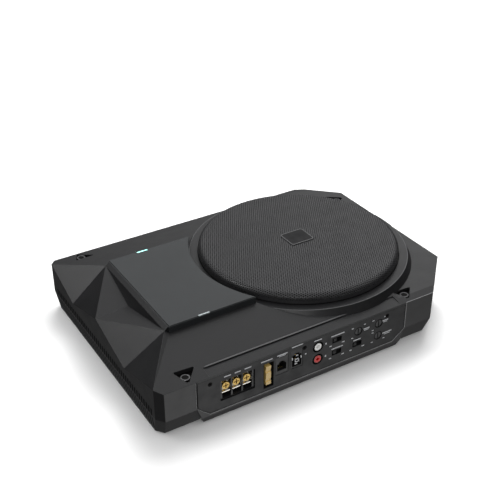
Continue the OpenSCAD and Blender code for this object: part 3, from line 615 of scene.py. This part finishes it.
# a switch's slot runs to the right of its slider at rest: the slot's middle, and its end marks
SLOT_SHIFT, SLOT_REACH, SLOT_DROP = 2, 7.2, 5
# a dial's end marks stand at its corners, one corner empty; the third is above or below the dial
DIAL_REACH, DIAL_RISE = 7, 5.5
DIAL_THIRD = {"knob_upper": 1, "knob_right": 1, "knob_lower": -1}


def box_mesh(name, boxes, bevel=0.0):
    """One mesh of several boxes, each (x0, x1, y0, y1, z0, z1) in millimetres."""
    bm = bmesh.new()
    for x0, x1, y0, y1, z0, z1 in boxes:
        made = bmesh.ops.create_cube(bm, size=1.0)["verts"]
        for v in made:
            v.co = Vector((
                (x0 + x1) / 2 + v.co.x * (x1 - x0),
                (y0 + y1) / 2 + v.co.y * (y1 - y0),
                (z0 + z1) / 2 + v.co.z * (z1 - z0))) * MM
    if bevel:
        bmesh.ops.bevel(bm, geom=bm.edges[:], offset=bevel * MM, segments=2, affect="EDGES")
    return mesh_from(name, bm)


# white marks round the speaker socket's pins, across and up from its middle: length, height
MARKS = [
    (-5, 1, 1, 2.6), (-1, -5.5, 2.6, 0.9), (4.5, 0.5, 1, 2.6), (0, 3.5, 2.2, 0.9),
    (9.5, 1.5, 1.6, 1.2),
]
# square outline on the socket: its middle's drop, half its width and height, bar thickness
SQUARE_DROP, SQUARE_W, SQUARE_H, SQUARE_BAR = 2, 1.8, 1.5, 0.7


def print_rows():
    """Every dash on the panel, as (x, z, length, height)."""
    rows = []
    for node, across, up, length, height in TITLES:
        x, z = middle(node)
        rows.append((x + across, z + up, length, height))
    for node in ("slider_upper", "slider_lower", "slider_right"):
        x, z = middle(node)
        x += SLOT_SHIFT
        rows.append((x - SLOT_REACH, z - SLOT_DROP, 2.6, 1))
        rows.append((x + SLOT_REACH, z - SLOT_DROP, 3, 1))
    for node, third in DIAL_THIRD.items():
        x, z = middle(node)
        for across, up in ((-1, 1), (-1, -1), (1, third)):
            rows.append((x + across * DIAL_REACH, z + up * DIAL_RISE, 2.2, 0.9))
    return rows


def mark_rows():
    """Every mark on the speaker socket, as (x, z, length, height)."""
    x, z = middle("speaker_socket")
    rows = [(x + across, z + up, length, height) for across, up, length, height in MARKS]
    z -= SQUARE_DROP
    for side in (-1, 1):
        rows.append((x, z + side * SQUARE_H, 2 * SQUARE_W - 0.2, SQUARE_BAR))
        rows.append((x + side * SQUARE_W, z, SQUARE_BAR, 2 * SQUARE_W - 0.2))
    return rows


def front_boxes(rows, y0, y1):
    """Boxes between two depths for rows of (x, z, length, height) around their centres."""
    return [(x - w / 2, x + w / 2, y0, y1, z - h / 2, z + h / 2) for x, z, w, h in rows]


def make_print(mats):
    """Plain dashes where the panel has labels, and the marks on the speaker socket."""
    boxes = front_boxes(print_rows(), PANEL_Y - 0.06, PANEL_Y + 0.05)
    piece("panel_print", box_mesh("panel_print", boxes), mats["print"])
    mark_y = box_mm("speaker_socket")[0].y - 0.1
    boxes = front_boxes(mark_rows(), mark_y - 0.3, mark_y + 0.3)
    piece("socket_marks", box_mesh("socket_marks", boxes), mats["mark"])


# height of a corner screw's head above its pocket's floor
SCREW_HEAD = 2.6
# each corner screw by its quarter of the plan, with its pocket's turn in degrees and mirror
QUARTERS = [(-1, -1, 0, 1), (1, -1, 0, 1), (-1, 1, 0, -1), (1, 1, 95, 1)]


def corner_screws():
    """Corner screws as the frame has them, in millimetres: x, y, pocket floor, turn, mirror."""
    points = [v.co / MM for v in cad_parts["corner_screws"].data.vertices]
    rows = []
    for sx, sy, turn, side in QUARTERS:
        own = [p for p in points if p.x * sx > 0 and p.y * sy > 0]
        x = (min(p.x for p in own) + max(p.x for p in own)) / 2
        y = (min(p.y for p in own) + max(p.y for p in own)) / 2
        rows.append((x, y, max(p.z for p in own) - SCREW_HEAD, turn, side))
    return rows


# plan outline of a pocket round its screw, and the opening left for the screw's head
POCKET = [(-8, 6.5), (-6.8, 7.4), (11, 6.4), (11.4, 5.2), (0.6, -7), (-2.2, -7)]
HUB_R = 3.6


def make_pockets(mats):
    """Near-black lining painted as shade in the three-sided pockets: a dished floor and low walls round
    each corner screw.
    """
    bm = bmesh.new()
    for x, y, floor, turn, side in corner_screws():
        a = math.radians(turn)

        def place(u, v, z):
            return bm.verts.new((
                (x + u * math.cos(a) - v * math.sin(a)) * MM,
                (y + side * (u * math.sin(a) + v * math.cos(a))) * MM, z * MM))

        rings = []
        for inset, z in ((0.02, floor + 1.9), (0.06, floor + 0.25), (0.12, floor + 0.06)):
            rings.append([place(u * (1 - inset), v * (1 - inset), z) for u, v in POCKET])
        for low, high in zip(rings, rings[1:]):
            join_rings(bm, low, high)
        hub = [place(u, v, floor + 0.05) for u, v in circle(HUB_R, 12)]
        inner = rings[-1]
        edges = [bm.edges.get((inner[i], inner[(i + 1) % len(inner)])) for i in range(len(inner))]
        edges += [bm.edges.new((hub[i], hub[(i + 1) % len(hub)])) for i in range(len(hub))]
        bmesh.ops.triangle_fill(bm, edges=edges, use_beauty=True, use_dissolve=False)
    piece("pocket_shade_lining", mesh_from("pocket_shade_lining", bm), mats["painted_shade"])


def sweep(name, path, profile, closed=False):
    """A profile (across, up) carried along a path, millimetres in.

    Each path point is (x, y, z, across_x, across_y), the last two the profile's sideways direction.
    """
    verts, faces = [], []
    n = len(profile)
    for x, y, z, ax, ay in path:
        for across, up in profile:
            verts.append(((x + across * ax) * MM, (y + across * ay) * MM, (z + up) * MM))
    runs = len(path) if closed else len(path) - 1
    for i in range(runs):
        j = (i + 1) % len(path)
        for k in range(n):
            m = (k + 1) % n
            faces.append((i * n + k, j * n + k, j * n + m, i * n + m))
    if not closed:
        faces.append(tuple(range(n)))
        faces.append(tuple(reversed(range((len(path) - 1) * n, len(path) * n))))
    return mesh_of(name, verts, faces)


def make_screw_rings(mats):
    """Turned collar standing on each corner screw's head, open over its socket, and a black disc
    painted as shade in each socket.
    """
    profile = [(3.0, 2.45), (4.3, 2.3), (4.55, 2.6), (4.3, 3.1), (3.5, 3.3), (3.0, 3.0)]
    socket_r, socket_z = 3.05, 2.75
    steps = 48
    n = len(profile)
    verts, faces = [], []
    for x, y, floor, _turn, _side in corner_screws():
        start = len(verts)
        for ca, sa in circle(1.0, steps):
            verts += [((x + r * ca) * MM, (y + r * sa) * MM, (floor + z) * MM) for r, z in profile]
        for i in range(steps):
            here, there = start + i * n, start + (i + 1) % steps * n
            for k in range(n):
                m = (k + 1) % n
                faces.append((here + k, there + k, there + m, here + m))
    piece("screw_collars", mesh_of("screw_collars", verts, faces), mats["steel"])
    # black disc painted as shade in each screw's socket
    bm = bmesh.new()
    for x, y, floor, _turn, _side in corner_screws():
        middle = Matrix.Translation((x * MM, y * MM, (floor + socket_z) * MM))
        bmesh.ops.create_circle(bm, cap_ends=True, segments=32, radius=socket_r * MM, matrix=middle)
    piece("screw_socket_shade", mesh_from("screw_socket_shade", bm), mats["painted_shade"])


# cooling slots along the left wall: pitch, width, count, and how far their middle is from y = 0
FIN_PITCH, FIN_GAP, FIN_COUNT, FIN_SHIFT = 4.7, 2.2, 47, -2.0
# slot heights in the skirt and on the wall
SKIRT_SLOT_Z = (5.1, 17.9)
WALL_SLOT_Z = (20.4, 27.5)


def make_fin_grooves(mats):
    """Black painted shade in the slots: floors in the slots of the left skirt, and the slots' upper run
    drawn on the wall above.
    """
    boxes = []
    for i in range(FIN_COUNT):
        y = (i - (FIN_COUNT - 1) / 2) * FIN_PITCH + FIN_SHIFT
        y0, y1 = y - FIN_GAP / 2, y + FIN_GAP / 2
        boxes.append((WALL_X + 2.3, WALL_X + 3.1, y0 + 0.05, y1 - 0.05, *SKIRT_SLOT_Z))
        boxes.append((WALL_X - 0.12, WALL_X + 0.2, y0, y1, *WALL_SLOT_Z))
    piece("fin_slot_shade", box_mesh("fin_slot_shade", boxes), mats["painted_shade"])


# radius and depth past the panel's face of the rings round a dial
# black rings painted as shade round the dials:
WELL = ((3.85, -0.02), (4.6, -0.05), (4.9, 0.1))


def make_knob_wells(mats):
    """Black ring painted on the panel's face round each dial as shade in the gap round it."""
    bm = bmesh.new()
    steps = 40
    for name in ("knob_upper", "knob_right", "knob_lower"):
        x, z = middle(name)
        rings = []
        for radius, depth in WELL:
            rings.append([bm.verts.new(((x + a) * MM, (PANEL_Y + depth) * MM, (z + b) * MM))
                          for a, b in circle(radius, steps)])
        for inner, outer in zip(rings, rings[1:]):
            join_rings(bm, inner, outer)
    piece("knob_well_shade", mesh_from("knob_well_shade", bm), mats["painted_shade"])


def round_bead(radius, flat=1.0):
    """Profile of a bead, flattened in height."""
    return [(a, flat * b) for a, b in circle(radius, 10)]


# height where the roof meets the front wall, the roof step above the panel, the ring's lip
EDGE_Z = 50.29
STEP_Y, STEP_Z = -112.6, 52.88
RING_LIP_R, RING_LIP_Z = 111.6, 59.8


def make_beads(mats):
    """Beads and edge strips in light grey painted as highlights, the bay's seam in black painted shade,
    and the slope up to the cover's left side.
    """
    # light bead along the roof step above the panel, painted as a soft highlight
    step = [(x, STEP_Y, STEP_Z, 0, 1) for x in range(-122, 71, 4)]
    step[0] = (-122, STEP_Y + 0.5, STEP_Z - 0.3, 0, 1)
    bead = sweep("roof_highlight_bead", step, round_bead(0.9, 0.35))
    piece("roof_highlight_bead", bead, mats["soft_highlight"])
    left, right = PANEL_LOW.x, PANEL_HIGH.x
    skirt, foot = HOUSING_LOW.z + 0.6, PANEL_LOW.z - 0.1
    # light bead along the bay's lower rim, painted as a highlight
    rim = [(x, FRONT_Y - 0.05, z, 0, 1)
           for x, z in ((left - 0.9, skirt), (left + 11.5, foot), (right - 13.5, foot),
                        (right + 0.7, skirt))]
    piece("bay_highlight_bead", sweep("bay_highlight_bead", rim, round_bead(0.4, 1.0)), mats["lip"])
    upright = (skirt + 0.2, PANEL_HIGH.z + 1)
    # black strip painted as shade in the seam at the bay's left side
    seam = (left - 1.2, left - 0.4, FRONT_Y - 0.1, PANEL_Y, *upright)
    piece("bay_seam_shade", box_mesh("bay_seam_shade", [seam]), mats["painted_shade"])
    # light strips at the bay's sides, painted as highlights
    edges = [(left - 1.9, left - 1.4, FRONT_Y - 0.2, FRONT_Y + 0.1, *upright),
             (right + 0.5, right + 1.5, FRONT_Y - 0.2, FRONT_Y + 0.1, *upright)]
    piece("bay_highlight_edges", box_mesh("bay_highlight_edges", edges, 0.1), mats["lip"])
    # light bead along the front wall's upper edge at the right end, painted as a highlight
    edge = [(x, FRONT_Y, EDGE_Z, 0, 1) for x in (93, 104, 115, 126)]
    edge.append((149, -102, EDGE_Z, 0.7, 0.7))
    piece("edge_highlight_bead", sweep("edge_highlight_bead", edge, round_bead(0.35, 0.8)), mats["lip"])
    ramp = [(COVER_LOW.x - 4, y, 0, 1, 0) for y in (COVER_LOW.y + 1.6, COVER_HIGH.y - 1.6)]
    slope = [(0.0, 65.9), (3.95, 69.3), (3.95, 62.0), (0.0, 62.0)]
    piece("cover_ramp", sweep("cover_ramp", ramp, slope), mats["shell"])
    # light bead on the ring's lip, painted as a soft highlight
    ring = [(AXIS_X + RING_LIP_R * ca, RING_LIP_R * sa, RING_LIP_Z, ca, sa)
            for ca, sa in circle(1.0, 180)]
    bead = sweep("ring_highlight_bead", ring, round_bead(0.5, 0.7), closed=True)
    piece("ring_highlight_bead", bead, mats["soft_highlight"])


make_camera()
make_studio()
MATS = make_materials()
dress_nodes(MATS)
make_grille(MATS)
make_badge(MATS)
make_print(MATS)
make_pockets(MATS)
make_screw_rings(MATS)
make_knob_wells(MATS)
make_fin_grooves(MATS)
make_beads(MATS)
